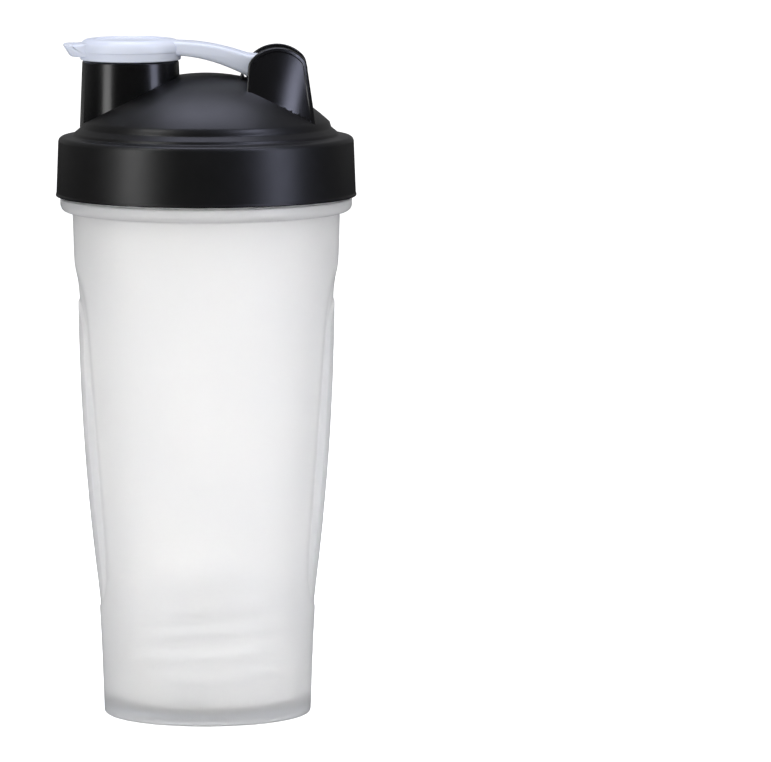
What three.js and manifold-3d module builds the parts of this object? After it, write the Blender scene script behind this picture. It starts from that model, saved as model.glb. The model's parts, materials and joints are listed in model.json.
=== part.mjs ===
// A 28-ounce protein shaker bottle: a tapered cup with grip pads and a screw neck, a domed lid with
// a drinking spout and a pair of hinge ears, a flip cap on a long arm, the lid's flat gasket, and
// the loose wire ball that does the mixing. Millimetres, +Z up, the foot of the cup at z = 0,
// the spout towards -X and the cap's hinge towards +X.
import * as THREE from "three";
import { mergeVertices } from "three/addons/utils/BufferGeometryUtils.js";
import Module from "manifold-3d";

const wasm = await Module();
wasm.setup();

// Cup
const cupHeight = 184.5; // foot to rim
const mouthRadius = 41.5; // inside the neck
const neckWall = 1.8;
const neckHeight = 16.5; // screw neck above the collar
const collarHeight = 4.2;
const collarReach = 3.9; // how far the collar stands out of the neck
const collarRound = 2.2;
const bodyWall = 1.8;
const floorThickness = 2.6;
const floorRound = 4; // inside, where the wall meets the floor
const taperTopDrop = 17.8; // collar to the top of the long taper
const taperTopInset = 0.5; // how much narrower the body is there than the neck
const taperFootZ = 34;
const taperFootRadius = 34.9;
const footRadius = 33.6;
const footChamfer = 0.9;
const footRecessRadius = 28.5; // hollow under the floor, inside the standing ring
const footRecessDepth = 1;

// Grip pads, one on each side of the cup
const windowHalfWidth = 19;
const windowFootZ = 34;
const windowTopDrop = 15.8; // collar to the top of the sunk window
const windowDepth = 0.95;
const windowCorner = 14;
const padHalfWidth = 12;
const padFootZ = 35;
const padTopDrop = 13; // window top to the top of the pad
const padBulge = 1.1; // how far the pad stands out of the taper at half height
const padRoot = 0.6; // how deep it is rooted in the wall behind the window

// Screw thread, two starts
const threadLead = 9;
const threadStarts = 2;
const threadDepth = 1.7;
const threadRootWidth = 2.2;
const threadTipWidth = 1.1;
const threadRun = 0.7; // radial room between a ridge and the wall across from it
const cupThreadTurns = 0.95;
const lidThreadTurns = 0.7;
const threadFade = 0.09; // the part of a turn over which a ridge rises and dies away
const threadTopDrop = 3.6; // rim to the top of the cup's thread
const threadFootRise = 1.8; // foot of the skirt to the start of the lid's thread
const threadRoot = 0.5; // how deep a ridge is rooted in its wall

// Lid
const skirtWall = 2.05;
const skirtDraft = 0.7; // how much wider the skirt is at its foot
const skirtGap = 0.8; // skirt to collar
const skirtBead = 0.2; // the little lip round the foot of the skirt
const skirtBeadHeight = 1;
const shoulderRise = 1.1; // ceiling to the outer edge of the shoulder
const shoulderRound = 1.5;
const domeStepWidth = 0.5; // the little step down from the edge of the dome to the brim
const domeStepDrop = 1.7;
const brimWidth = 2.1; // the sloping brim
const brimDrop = 1.7;
const brimStepWidth = 0.4; // and the step from there to the shoulder
const brimStepDrop = 0.9;
const domeApexRise = 21.6; // ceiling to the top of the dome
const domeEdgeRise = 5.8; // ceiling to the edge of the dome
const domeEdgeInset = 7.75; // skirt top to the edge of the dome, in radius
const domeWall = 2;
const plugGap = 0.3; // plug ring to the mouth of the cup
const plugWall = 2;
const plugDepth = 10.8; // ceiling to the foot of the plug ring

// Gasket
const gasketThickness = 1.7;
const seatGap = 0.3; // between pieces that rest on each other

// Spout
const spoutX = -24.3;
const spoutRadius = 15.6; // outside, at its mouth
const spoutFlare = 0.9; // how much wider it is where it leaves the dome
const spoutRise = 4.1; // top of the dome to the mouth of the spout
const spoutWall = 2;

// Hinge ears
const hingeX = 23.1;
const hingeRise = 1.3; // top of the dome to the hinge axis
const earRise = 7.5; // hinge axis to the top of the ears
const earTopRound = 11.5; // the flatter middle of their arch
const earCornerRound = 5; // and its two shoulders
const earShoulder = Math.PI / 4; // from upright, where one turns into the other
const earFlareFront = 1.6; // how far each edge leans out on its way down
const earFlareRear = 2.9;
const earTopHalf = 11; // centre plane to the outer face, at the top
const earFootHalf = 27.4; // and at the root
const earRound = 22.7; // the outer faces are rounded on this radius in plan, at the root
const earTurnLead = 5.1; // hinge axis to the middle of that rounding
const earGapHalf = 8.6; // centre plane to the inner face
const earRoot = 19.5; // hinge axis to the root, inside the dome
const panelMargin = 1.1; // the raised edge round the sunk outer face
const panelDepth = 0.35;
const socketRadius = 2.5;
const socketDepth = 2.6;
const stopRise = 0.4; // the stop rib in front of the hinge
const stopHalfWidth = 7;
const stopFootWidth = 2.4;
const stopTopWidth = 0.75; // its front face leans back by as much
const stopGap = 0.5; // foot of the rib to the heel of the arm

// Flip cap
const capOverhang = 1; // cap beyond the mouth of the spout
const capPlate = 4.1;
const capRound = 3.2;
const capCollar = 2.7; // ring between the plate and the mouth of the spout
const capRim = 5.1; // edge of the cap to its dish
const dishDepth = 0.6;
const capPlugGap = 0.4;
const capPlugWall = 1.5;
const capPlugDepth = 5.6;
const tabReach = 22; // spout axis to the tip of the thumb tab
const tabHalfWidth = 8;
const tabRound = 6; // its corners, in plan
const tabSlant = 2.6; // how far its end leans back on the way down
const tabThickness = 4.1;
const tabDrop = 1.6; // top of the plate to the top of the tab's tip
const tabDip = 0.2; // and from there to the dip where the tab leaves the plate
const armSideGap = 1.2; // arm to the inner face of an ear
const armThickness = 4.4;
const armDrop = 0.7; // top of the plate to the top of the arm
const armSag = 2.3; // top of the plate to the handle of the top curve at the heel
const armRootRun = 12; // handle of both curves where they leave the plate
const armEndRise = 5; // hinge axis to the top of the arm at the heel
const armTopRun = 8; // handle of the top curve at the heel
const armLowRun = 4.4; // and of the lower one
const armLowRise = 2;
const heelReach = 9.6; // hinge axis to the heel of the arm
const heelDrop = 2.3; // hinge axis to the foot of the heel
const heelLean = 1.2; // how far the heel's face leans forward on its way up
const heelFace = 0.9; // and how high it is
const barrelRadius = 4;
const barrelGap = 0.3;
const trunnionGap = 0.3;

// Mixing ball
const ballRadius = 24.5;
const wireRadius = 1.1;
const ballTurns = 7;
const ballPole = THREE.MathUtils.degToRad(20); // where the wire starts and ends, from the pole

// How finely the round shapes are drawn
const roundSegments = 60; // round a lathe
const arcSteps = 3; // along half of a profile's arc
const barSegments = 20;
const earPlanSegments = 24; // round each end of the ears' block
const bulgeSteps = 12; // up a pad
const armSteps = 10; // along each of the arm's curves
const threadSteps = 30; // to a turn
const ballSteps = 20; // to a turn

// Worked out
const neckRadius = mouthRadius + neckWall;
const floorZ = footRecessDepth + floorThickness;
const collarTopZ = cupHeight - neckHeight;
const collarFootZ = collarTopZ - collarHeight;
const collarRadius = neckRadius + collarReach;
const taperTopZ = collarFootZ - taperTopDrop;
const taperTopRadius = neckRadius - taperTopInset;
const taper = (taperTopRadius - taperFootRadius) / (taperTopZ - taperFootZ);
const taperRadius = (z) => taperFootRadius + taper * (z - taperFootZ);
const windowTopZ = collarFootZ - windowTopDrop;
const padTopZ = windowTopZ - padTopDrop;
const padEndSink = windowDepth / 2; // taper to the face of the pad at its two ends
const skirtInside = neckRadius + threadDepth + threadRun;
const skirtTopRadius = skirtInside + skirtWall;
const skirtFootZ = collarTopZ + skirtGap;
const gasketFootZ = cupHeight + seatGap;
const ceilingZ = gasketFootZ + gasketThickness + seatGap;
const plugRadius = mouthRadius - plugGap;
const domeTopZ = ceilingZ + domeApexRise;
const domeEdge = skirtTopRadius - domeEdgeInset;
const domeHeight = domeApexRise - domeEdgeRise;
const domeRadius = (domeEdge ** 2 + domeHeight ** 2) / (2 * domeHeight);
const domeCentreZ = domeTopZ - domeRadius;
const domeZ = (radius) => domeCentreZ + Math.sqrt(domeRadius ** 2 - radius ** 2);
const innerDomeRadius = domeRadius - domeWall;
const spoutTopZ = domeTopZ + spoutRise;
const capRadius = spoutRadius + capOverhang;
const dishRadius = capRadius - capRim;
const armHalfWidth = earGapHalf - armSideGap;
const boreRadius = spoutRadius - spoutWall;
const hingeZ = domeTopZ + hingeRise;
const earTopZ = hingeZ + earRise;
const earRootZ = hingeZ - earRoot;
const earShoulderReach = (earTopRound - earCornerRound) * Math.sin(earShoulder);
const earShoulderZ = earTopZ - earTopRound + (earTopRound - earCornerRound) * Math.cos(earShoulder);
const capFootZ = spoutTopZ + seatGap;
const plateFootZ = capFootZ + capCollar;
const plateTopZ = plateFootZ + capPlate;
const barrelHalf = earGapHalf - barrelGap;
const threadMidZ = (skirtFootZ + cupHeight) / 2;

// Geometry helpers
const unitX = new THREE.Vector3(1, 0, 0);
const unitY = new THREE.Vector3(0, 1, 0);
const unitZ = new THREE.Vector3(0, 0, 1);
const standUp = new THREE.Matrix4().makeBasis(unitX, unitZ, unitY.clone().negate());
const faceSide = new THREE.Matrix4().makeBasis(unitY, unitZ, unitX);

// A closed three.js geometry as a solid that can be joined and cut.
function solid(geometry) {
  const bare = geometry.clone();
  bare.deleteAttribute("normal");
  bare.deleteAttribute("uv");
  const merged = mergeVertices(bare, 1e-4);
  const corners = merged.index.array;
  const kept = [];
  for (let i = 0; i < corners.length; i += 3) {
    const [a, b, c] = corners.slice(i, i + 3);
    if (a !== b && b !== c && c !== a) kept.push(a, b, c);
  }
  return new wasm.Manifold(
    new wasm.Mesh({
      numProp: 3,
      vertProperties: merged.attributes.position.array,
      triVerts: new Uint32Array(kept),
    }),
  );
}

// A profile of radius and height turned about the Z axis, or about an upright axis at x.
function turned(profile, x = 0, segments = roundSegments) {
  const lathe = new THREE.LatheGeometry(profile.getPoints(arcSteps), segments);
  return solid(lathe.rotateX(Math.PI / 2).translate(x, 0, 0));
}

// A disc or post between two heights.
function post(radius, footZ, topZ, x = 0, topRadius = radius) {
  const profile = new THREE.Path([new THREE.Vector2(0, footZ)]);
  profile.moveTo(0, footZ).lineTo(radius, footZ).lineTo(topRadius, topZ).lineTo(0, topZ);
  return turned(profile, x);
}

// An outline run from one depth to another, then turned by the matrix.
function run(outline, from, to, matrix = new THREE.Matrix4()) {
  const geometry = new THREE.ExtrudeGeometry(outline, {
    depth: to - from,
    bevelEnabled: false,
    curveSegments: 2 * arcSteps,
  });
  return solid(geometry.translate(0, 0, from).applyMatrix4(matrix));
}

// A round bar along Y through the hinge axis.
function hingeBar(radius, halfLength) {
  const bar = new THREE.CylinderGeometry(radius, radius, 2 * halfLength, barSegments);
  return solid(bar.translate(hingeX, 0, hingeZ));
}

// One thread ridge: its section is run along a straight bar, which is then wound up as a helix.
function threadRidge(rootRadius, tipRadius, midZ, midAngle, turns) {
  const outward = Math.sign(tipRadius - rootRadius);
  const inside = rootRadius - outward * threadRoot;
  const section = new THREE.Shape();
  section.moveTo(inside, -threadRootWidth / 2).lineTo(rootRadius, -threadRootWidth / 2);
  section.lineTo(tipRadius, -threadTipWidth / 2).lineTo(tipRadius, threadTipWidth / 2);
  section.lineTo(rootRadius, threadRootWidth / 2).lineTo(inside, threadRootWidth / 2);
  section.closePath();
  const bar = new THREE.ExtrudeGeometry(section, {
    depth: 1,
    steps: Math.ceil(turns * threadSteps),
    bevelEnabled: false,
  });
  const place = bar.attributes.position;
  for (let i = 0; i < place.count; i++) {
    const along = place.getZ(i);
    const fade = Math.min(1, (along * turns) / threadFade, ((1 - along) * turns) / threadFade);
    const beyond = outward * (place.getX(i) - rootRadius);
    const radius = rootRadius + outward * (beyond > 0 ? beyond * fade : beyond);
    const wound = (along - 0.5) * turns;
    const angle = midAngle + 2 * Math.PI * wound;
    const z = midZ + threadLead * wound - place.getY(i);
    place.setXYZ(i, radius * Math.cos(angle), radius * Math.sin(angle), z);
  }
  return solid(bar);
}

// A wall with the ridges of every start on it. Each ridge's angle follows from the height of its
// middle, so that ridges lowered by half a pitch run in the middle of the other part's grooves.
function threaded(wall, rootRadius, tipRadius, midZ, turns, lowered) {
  let whole = wall;
  for (let start = 0; start < threadStarts; start++) {
    const wound = (midZ + lowered - threadMidZ) / threadLead + start / threadStarts;
    whole = whole.add(threadRidge(rootRadius, tipRadius, midZ, 2 * Math.PI * wound, turns));
  }
  return whole;
}

// Cup
function cupBody() {
  const profile = new THREE.Path();
  profile.moveTo(0, footRecessDepth).lineTo(footRecessRadius, footRecessDepth);
  profile.lineTo(footRecessRadius + footRecessDepth, 0).lineTo(footRadius - footChamfer, 0);
  profile.lineTo(footRadius, footChamfer).lineTo(taperFootRadius, taperFootZ);
  profile.lineTo(taperTopRadius, taperTopZ).lineTo(neckRadius, collarFootZ);
  profile.lineTo(collarRadius - collarRound, collarFootZ);
  profile.absarc(collarRadius - collarRound, collarFootZ + collarRound, collarRound,
    -Math.PI / 2, 0, false);
  profile.lineTo(collarRadius, collarTopZ).lineTo(neckRadius, collarTopZ);
  profile.lineTo(neckRadius, cupHeight).lineTo(mouthRadius, cupHeight);
  profile.lineTo(mouthRadius, collarFootZ);
  profile.lineTo(taperTopRadius - bodyWall, taperTopZ);
  profile.lineTo(taperFootRadius - bodyWall, taperFootZ);
  profile.absarc(footRadius - bodyWall - floorRound, floorZ + floorRound, floorRound,
    0, -Math.PI / 2, true);
  profile.lineTo(0, floorZ);
  return turned(profile);
}

function windowOutline() {
  const height = windowTopZ - windowFootZ;
  const corner = Math.min(windowCorner, windowHalfWidth, height / 2);
  const outline = new THREE.Shape();
  const side = windowHalfWidth - corner;
  outline.moveTo(-windowHalfWidth, windowFootZ + corner);
  outline.absarc(-side, windowFootZ + corner, corner, Math.PI, 1.5 * Math.PI, false);
  outline.absarc(side, windowFootZ + corner, corner, -Math.PI / 2, 0, false);
  outline.absarc(side, windowTopZ - corner, corner, 0, Math.PI / 2, false);
  outline.absarc(-side, windowTopZ - corner, corner, Math.PI / 2, Math.PI, false);
  return outline;
}

function padOutline() {
  const outline = new THREE.Shape();
  outline.absarc(0, padFootZ + padHalfWidth, padHalfWidth, Math.PI, 2 * Math.PI, false);
  outline.absarc(0, padTopZ - padHalfWidth, padHalfWidth, 0, Math.PI, false);
  return outline;
}

// The taper sunk by a depth, as a post to cut with.
function sunkTaper(depth) {
  return post(taperRadius(0) - depth, 0, collarFootZ, 0, taperRadius(collarFootZ) - depth);
}

// The body that a pad's face is cut from: the taper with a long arc standing out of it.
function bulgedTaper() {
  const profile = new THREE.Path().moveTo(0, padFootZ);
  for (let i = 0; i <= bulgeSteps; i++) {
    const along = i / bulgeSteps;
    const z = padFootZ + along * (padTopZ - padFootZ);
    const bulge = 4 * along * (1 - along) * (padBulge + padEndSink) - padEndSink;
    profile.lineTo(taperRadius(z) + bulge, z);
  }
  profile.lineTo(0, padTopZ);
  return turned(profile);
}

function cup() {
  const sunk = run(windowOutline(), -collarRadius, collarRadius, faceSide)
    .subtract(sunkTaper(windowDepth));
  const pads = run(padOutline(), -collarRadius, collarRadius, faceSide)
    .intersect(bulgedTaper())
    .subtract(sunkTaper(windowDepth + padRoot));
  const midZ = cupHeight - threadTopDrop - (threadLead * cupThreadTurns) / 2;
  const tip = neckRadius + threadDepth;
  const body = cupBody().subtract(sunk).add(pads);
  return threaded(body, neckRadius, tip, midZ, cupThreadTurns, 0);
}

// Lid
function lidShell() {
  const footRadius = skirtTopRadius + skirtDraft;
  const edgeZ = domeZ(domeEdge);
  const roundX = skirtTopRadius - shoulderRound;
  const roundZ = ceilingZ + shoulderRise - shoulderRound;
  const profile = new THREE.Path();
  profile.moveTo(plugRadius, ceilingZ).lineTo(skirtInside, ceilingZ);
  profile.lineTo(skirtInside, skirtFootZ).lineTo(footRadius + skirtBead, skirtFootZ);
  profile.lineTo(footRadius + skirtBead, skirtFootZ + skirtBeadHeight / 2);
  profile.lineTo(footRadius, skirtFootZ + skirtBeadHeight);
  profile.absarc(roundX, roundZ, shoulderRound, 0, Math.PI / 2, false);
  const brimX = domeEdge + domeStepWidth;
  const brimZ = edgeZ - domeStepDrop;
  const brimFootX = brimX + brimWidth;
  const brimFootZ = brimZ - brimDrop;
  profile.lineTo(brimFootX + brimStepWidth, brimFootZ - brimStepDrop).lineTo(brimFootX, brimFootZ);
  profile.lineTo(brimX, brimZ).lineTo(domeEdge, edgeZ);
  const span = Math.asin(domeEdge / domeRadius);
  profile.absarc(0, domeCentreZ, domeRadius, Math.PI / 2 - span, Math.PI / 2, false);
  profile.lineTo(0, domeTopZ - domeWall);
  const innerEdge = plugRadius - plugWall;
  const innerSpan = Math.asin(innerEdge / innerDomeRadius);
  profile.absarc(0, domeCentreZ, innerDomeRadius, Math.PI / 2, Math.PI / 2 - innerSpan, true);
  profile.lineTo(innerEdge, ceilingZ - plugDepth).lineTo(plugRadius, ceilingZ - plugDepth);
  profile.lineTo(plugRadius, ceilingZ);
  return turned(profile);
}

// Everything under the dome's outer face, to trim what is added on top of it.
function underDome() {
  const profile = new THREE.Path().moveTo(0, collarTopZ);
  profile.lineTo(skirtTopRadius, collarTopZ);
  profile.lineTo(domeEdge, domeZ(domeEdge) - domeWall);
  const middle = domeRadius - domeWall / 2;
  const span = Math.asin(domeEdge / middle);
  profile.absarc(0, domeCentreZ, middle, Math.PI / 2 - span, Math.PI / 2, false);
  return turned(profile);
}

function spoutWallSolid() {
  const lowZ = domeZ(spoutRadius - spoutX) - domeWall / 2;
  return post(spoutRadius + spoutFlare, lowZ, spoutTopZ, spoutX, spoutRadius);
}

// The arch that the ears show from the side.
function earOutline(inset) {
  const corner = earCornerRound - inset;
  const across = earShoulderReach + corner;
  const outline = new THREE.Shape();
  const rootZ = earRootZ - 2 * inset;
  outline.moveTo(hingeX + across + earFlareRear, rootZ).lineTo(hingeX + across, earShoulderZ);
  outline.absarc(hingeX + earShoulderReach, earShoulderZ, corner,
    0, Math.PI / 2 - earShoulder, false);
  outline.absarc(hingeX, earTopZ - earTopRound, earTopRound - inset,
    Math.PI / 2 - earShoulder, Math.PI / 2 + earShoulder, false);
  outline.absarc(hingeX - earShoulderReach, earShoulderZ, corner,
    Math.PI / 2 + earShoulder, Math.PI, false);
  outline.lineTo(hingeX - across - earFlareFront, rootZ);
  return outline;
}

// The block that both ears are cut from: round-ended in plan, its outer faces leaning in on the
// way up, and drawn in by an inset.
function earBlock(inset) {
  const middleX = hingeX - earTurnLead;
  const plan = new THREE.Shape();
  plan.absarc(middleX, earRound - earFootHalf, earRound, Math.PI, 2 * Math.PI, false);
  plan.absarc(middleX, earFootHalf - earRound, earRound, 0, Math.PI, false);
  const depth = earRoot + earRise;
  const block = new THREE.ExtrudeGeometry(plan, {
    depth: 2 * depth, bevelEnabled: false, curveSegments: earPlanSegments,
  });
  const place = block.attributes.position;
  const lean = (earFootHalf - earTopHalf) / depth;
  for (let i = 0; i < place.count; i++) {
    const below = depth - place.getZ(i);
    const half = earTopHalf + lean * below - inset;
    place.setY(i, (place.getY(i) / earFootHalf) * half);
  }
  return solid(block.translate(0, 0, earTopZ - depth));
}

function ears() {
  const whole = run(earOutline(0), -earFootHalf, earFootHalf, standUp).intersect(earBlock(0));
  const panels = run(earOutline(panelMargin), -2 * earFootHalf, 2 * earFootHalf, standUp)
    .subtract(earBlock(panelDepth));
  const gap = new THREE.BoxGeometry(6 * earTopRound, 2 * earGapHalf, 4 * earRoot);
  return whole
    .subtract(panels)
    .subtract(solid(gap.translate(hingeX, 0, hingeZ)))
    .subtract(hingeBar(socketRadius, earGapHalf + socketDepth));
}

// A low rib across the dome that the arm's heel comes down behind.
function stopRib() {
  const rearX = hingeX - heelReach - stopGap;
  const frontX = rearX - stopFootWidth;
  const topZ = domeZ(frontX) + stopRise;
  const footZ = domeZ(frontX) - domeWall / 2;
  const outline = new THREE.Shape();
  outline.moveTo(frontX, footZ).lineTo(rearX, footZ);
  outline.lineTo(frontX + 2 * stopTopWidth, topZ).lineTo(frontX + stopTopWidth, topZ);
  return run(outline, -stopHalfWidth, stopHalfWidth, standUp);
}

function lid() {
  const trim = underDome();
  const onTop = spoutWallSolid().subtract(trim).add(ears().subtract(trim)).add(stopRib());
  const bore = post(boreRadius, collarTopZ, spoutTopZ + spoutWall, spoutX);
  const body = lidShell().add(onTop).subtract(bore);
  const midZ = skirtFootZ + threadFootRise + (threadLead * lidThreadTurns) / 2;
  const halfPitch = threadLead / threadStarts / 2;
  const tip = skirtInside - threadDepth;
  return threaded(body, skirtInside, tip, midZ, lidThreadTurns, halfPitch);
}

// Gasket
function gasket() {
  const inside = plugRadius + seatGap;
  const outside = skirtInside - seatGap;
  const profile = new THREE.Path().moveTo(inside, gasketFootZ).lineTo(outside, gasketFootZ);
  profile.lineTo(outside, gasketFootZ + gasketThickness);
  profile.lineTo(inside, gasketFootZ + gasketThickness).lineTo(inside, gasketFootZ);
  return turned(profile);
}

// Flip cap
function capPlateSolid() {
  const plugOutside = boreRadius - capPlugGap;
  const plugInside = plugOutside - capPlugWall;
  const plugFootZ = capFootZ - capPlugDepth;
  const profile = new THREE.Path();
  profile.moveTo(0, plateFootZ).lineTo(plugInside, plateFootZ).lineTo(plugInside, plugFootZ);
  profile.lineTo(plugOutside, plugFootZ).lineTo(plugOutside, capFootZ);
  profile.lineTo(capRadius, capFootZ).lineTo(capRadius, plateTopZ - capRound);
  profile.absarc(capRadius - capRound, plateTopZ - capRound, capRound, 0, Math.PI / 2, false);
  profile.lineTo(dishRadius, plateTopZ).lineTo(dishRadius - dishDepth, plateTopZ - dishDepth);
  profile.lineTo(0, plateTopZ - dishDepth);
  return turned(profile, spoutX);
}

function tab() {
  const tipX = spoutX - tabReach;
  const rootX = spoutX - dishRadius;
  const side = new THREE.Shape();
  const topZ = plateTopZ - tabDrop;
  side.moveTo(rootX, topZ - tabThickness).lineTo(rootX, plateTopZ - dishDepth);
  side.lineTo(spoutX - capRadius, topZ - tabDip).lineTo(tipX, topZ);
  side.lineTo(tipX + tabSlant, topZ - tabThickness);
  const plan = new THREE.Shape();
  const straight = tabHalfWidth - tabRound;
  plan.moveTo(rootX, -tabHalfWidth).lineTo(rootX, tabHalfWidth);
  plan.absarc(tipX + tabRound, straight, tabRound, Math.PI / 2, Math.PI, false);
  plan.absarc(tipX + tabRound, -straight, tabRound, Math.PI, 1.5 * Math.PI, false);
  return run(side, -tabHalfWidth, tabHalfWidth, standUp)
    .intersect(run(plan, capFootZ - tabThickness, plateTopZ));
}

function arm() {
  const rootX = spoutX + dishRadius + dishDepth;
  const rootZ = plateTopZ - armDrop;
  const heelX = hingeX - heelReach;
  const heelZ = hingeZ - heelDrop;
  const toe = new THREE.Vector2(heelX - heelLean, heelZ + heelFace);
  const top = new THREE.CubicBezierCurve(
    new THREE.Vector2(heelX, hingeZ + armEndRise),
    new THREE.Vector2(heelX - armTopRun, plateTopZ - armSag),
    new THREE.Vector2(rootX + armRootRun, rootZ),
    new THREE.Vector2(rootX, rootZ),
  );
  const low = new THREE.CubicBezierCurve(
    new THREE.Vector2(rootX, rootZ - armThickness),
    new THREE.Vector2(rootX + armRootRun, rootZ - armThickness),
    new THREE.Vector2(toe.x - armLowRun, toe.y + armLowRise),
    toe,
  );
  const side = new THREE.Shape().moveTo(hingeX, hingeZ + barrelRadius);
  [...top.getPoints(armSteps), ...low.getPoints(armSteps)].forEach((p) => side.lineTo(p.x, p.y));
  side.lineTo(heelX, heelZ).lineTo(hingeX, hingeZ - barrelRadius);
  return run(side, -armHalfWidth, armHalfWidth, standUp);
}

function flipCap() {
  const trunnions = hingeBar(socketRadius - trunnionGap, earGapHalf + socketDepth - barrelGap);
  return capPlateSolid()
    .add(tab())
    .add(arm())
    .add(hingeBar(barrelRadius, barrelHalf))
    .add(trunnions);
}

// Mixing ball: one wire wound from pole to pole, each turn as wide as a sphere is there.
class BallWire extends THREE.Curve {
  getPoint(t, target = new THREE.Vector3()) {
    const polar = ballPole + t * (Math.PI - 2 * ballPole);
    const around = 2 * Math.PI * ballTurns * t;
    const radius = ballRadius - wireRadius;
    const reach = radius * Math.sin(polar);
    const high = -radius * Math.cos(polar);
    return target.set(reach * Math.cos(around), reach * Math.sin(around), high);
  }
}

function whiskBall() {
  const section = new THREE.Shape().absarc(0, 0, wireRadius, 0, 2 * Math.PI, false);
  const wire = new THREE.ExtrudeGeometry(section, {
    extrudePath: new BallWire(),
    steps: ballTurns * ballSteps,
    curveSegments: arcSteps,
    bevelEnabled: false,
  });
  const lowest = (ballRadius - wireRadius) * Math.cos(ballPole) + wireRadius;
  const restZ = floorZ + seatGap + lowest;
  return solid(wire.translate(0, 0, restZ));
}

// Scene
function mesh(name, body, look) {
  const made = body.getMesh();
  const geometry = new THREE.BufferGeometry();
  geometry.setAttribute("position", new THREE.BufferAttribute(made.vertProperties, 3));
  geometry.setIndex(new THREE.BufferAttribute(made.triVerts, 1));
  geometry.computeVertexNormals();
  const node = new THREE.Mesh(geometry, new THREE.MeshStandardMaterial(look));
  node.name = name;
  return node;
}

const bottle = new THREE.Group();
bottle.add(mesh("cup", cup(), {
  color: "#eceef4", roughness: 0.4, metalness: 0, transparent: true, opacity: 0.7,
}));
bottle.add(mesh("lid", lid(), { color: "#1d1d20", roughness: 0.42, metalness: 0 }));
bottle.add(mesh("lid_gasket", gasket(), { color: "#d8dade", roughness: 0.6, metalness: 0 }));
bottle.add(mesh("flip_cap", flipCap(), { color: "#e3e8f3", roughness: 0.35, metalness: 0 }));
bottle.add(mesh("whisk_ball", whiskBall(), { color: "#b9bbbf", roughness: 0.22, metalness: 1 }));

export default bottle;
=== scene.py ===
# A 28-ounce protein shaker bottle: milky cup, black screw lid, white flip cap, gasket, mixing ball.
# Shapes are drawn in millimetres and made metres when a piece is finished.
import bmesh
import bpy
import json
import math
from mathutils import Matrix, Vector


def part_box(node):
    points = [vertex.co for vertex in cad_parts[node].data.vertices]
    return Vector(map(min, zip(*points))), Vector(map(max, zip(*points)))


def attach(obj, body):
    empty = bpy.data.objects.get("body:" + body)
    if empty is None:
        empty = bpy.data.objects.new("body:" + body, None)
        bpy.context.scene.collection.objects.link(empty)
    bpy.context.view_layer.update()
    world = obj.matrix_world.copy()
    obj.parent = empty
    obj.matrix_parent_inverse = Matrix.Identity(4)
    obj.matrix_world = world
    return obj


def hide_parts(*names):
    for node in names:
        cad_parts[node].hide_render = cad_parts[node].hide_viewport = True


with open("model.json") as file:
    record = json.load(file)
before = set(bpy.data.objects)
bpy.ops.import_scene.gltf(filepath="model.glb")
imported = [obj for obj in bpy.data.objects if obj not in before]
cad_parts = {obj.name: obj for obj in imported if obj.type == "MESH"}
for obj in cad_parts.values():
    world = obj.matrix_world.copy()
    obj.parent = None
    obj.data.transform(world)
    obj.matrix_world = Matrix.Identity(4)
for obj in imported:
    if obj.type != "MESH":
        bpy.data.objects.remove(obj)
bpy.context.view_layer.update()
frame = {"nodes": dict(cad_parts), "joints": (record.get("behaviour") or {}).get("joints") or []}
print("frame loaded:", ", ".join(sorted(frame["nodes"])))


# Places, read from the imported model.

def boxMm(node):
    low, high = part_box(node)
    return low * 1000, high * 1000


cupHigh = boxMm("cup")[1]
lidLow, lidHigh = boxMm("lid")
gasketLow, gasketHigh = boxMm("lid_gasket")
capLow, capHigh = boxMm("flip_cap")
ballLow, ballHigh = boxMm("whisk_ball")
hingePlace = next(j for j in frame["joints"] if j["name"] == "cap_flip")["pos_m"]
hingeX = hingePlace[0] * 1000
hingeZ = hingePlace[2] * 1000


# Helpers that make and join meshes, all in millimetres.

roundSteps = 256  # faces round the big turned pieces
postSteps = 128
cornerSteps = 5  # faces across a rounded corner of a profile
mergeReach = 0.001


def chain(bm, corners, closed=False):
    # corners are (x, z, rounding), rounding being the length taken off each side of the corner
    points = [bm.verts.new((x, 0, z)) for x, z, rounding in corners]
    ends = points[1:] + points[:1] if closed else points[1:]
    for pair in zip(points, ends):
        bm.edges.new(pair)
    for point, (x, z, rounding) in zip(points, corners):
        if rounding:
            bmesh.ops.bevel(bm, geom=[point], offset=rounding, offset_type="OFFSET",
                            segments=cornerSteps, profile=0.5, affect="VERTICES", material=-1)


def arcCorners(centreX, centreZ, radius, fromDeg, toDeg, steps):
    # points on an arc, 0 degrees along +X and 90 up
    turns = [math.radians(fromDeg + (toDeg - fromDeg) * i / steps) for i in range(steps + 1)]
    return [(centreX + radius * math.cos(a), centreZ + radius * math.sin(a), 0) for a in turns]


def splitLong(bm, step, keep=lambda edge: True):
    # extra rows along the straight stretches of a profile
    for edge in [e for e in bm.edges if keep(e) and e.calc_length() > step]:
        cuts = int(edge.calc_length() / step)
        bmesh.ops.subdivide_edges(bm, edges=[edge], cuts=cuts)


def spinRound(bm, steps=roundSteps):
    bmesh.ops.spin(bm, geom=bm.verts[:] + bm.edges[:], cent=(0, 0, 0), axis=(0, 0, 1),
                   dvec=(0, 0, 0), angle=2 * math.pi, steps=steps, use_merge=True,
                   use_duplicate=False)
    bmesh.ops.remove_doubles(bm, verts=bm.verts, dist=mergeReach)
    bmesh.ops.recalc_face_normals(bm, faces=bm.faces)


def turned(corners, steps=roundSteps, x=0.0):
    bm = bmesh.new()
    chain(bm, corners)
    spinRound(bm, steps)
    bmesh.ops.translate(bm, verts=bm.verts, vec=(x, 0, 0))
    return bm


def post(radius, lowZ, highZ, x=0.0):
    return turned([(0, lowZ, 0), (radius, lowZ, 0), (radius, highZ, 0), (0, highZ, 0)], postSteps, x)


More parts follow.
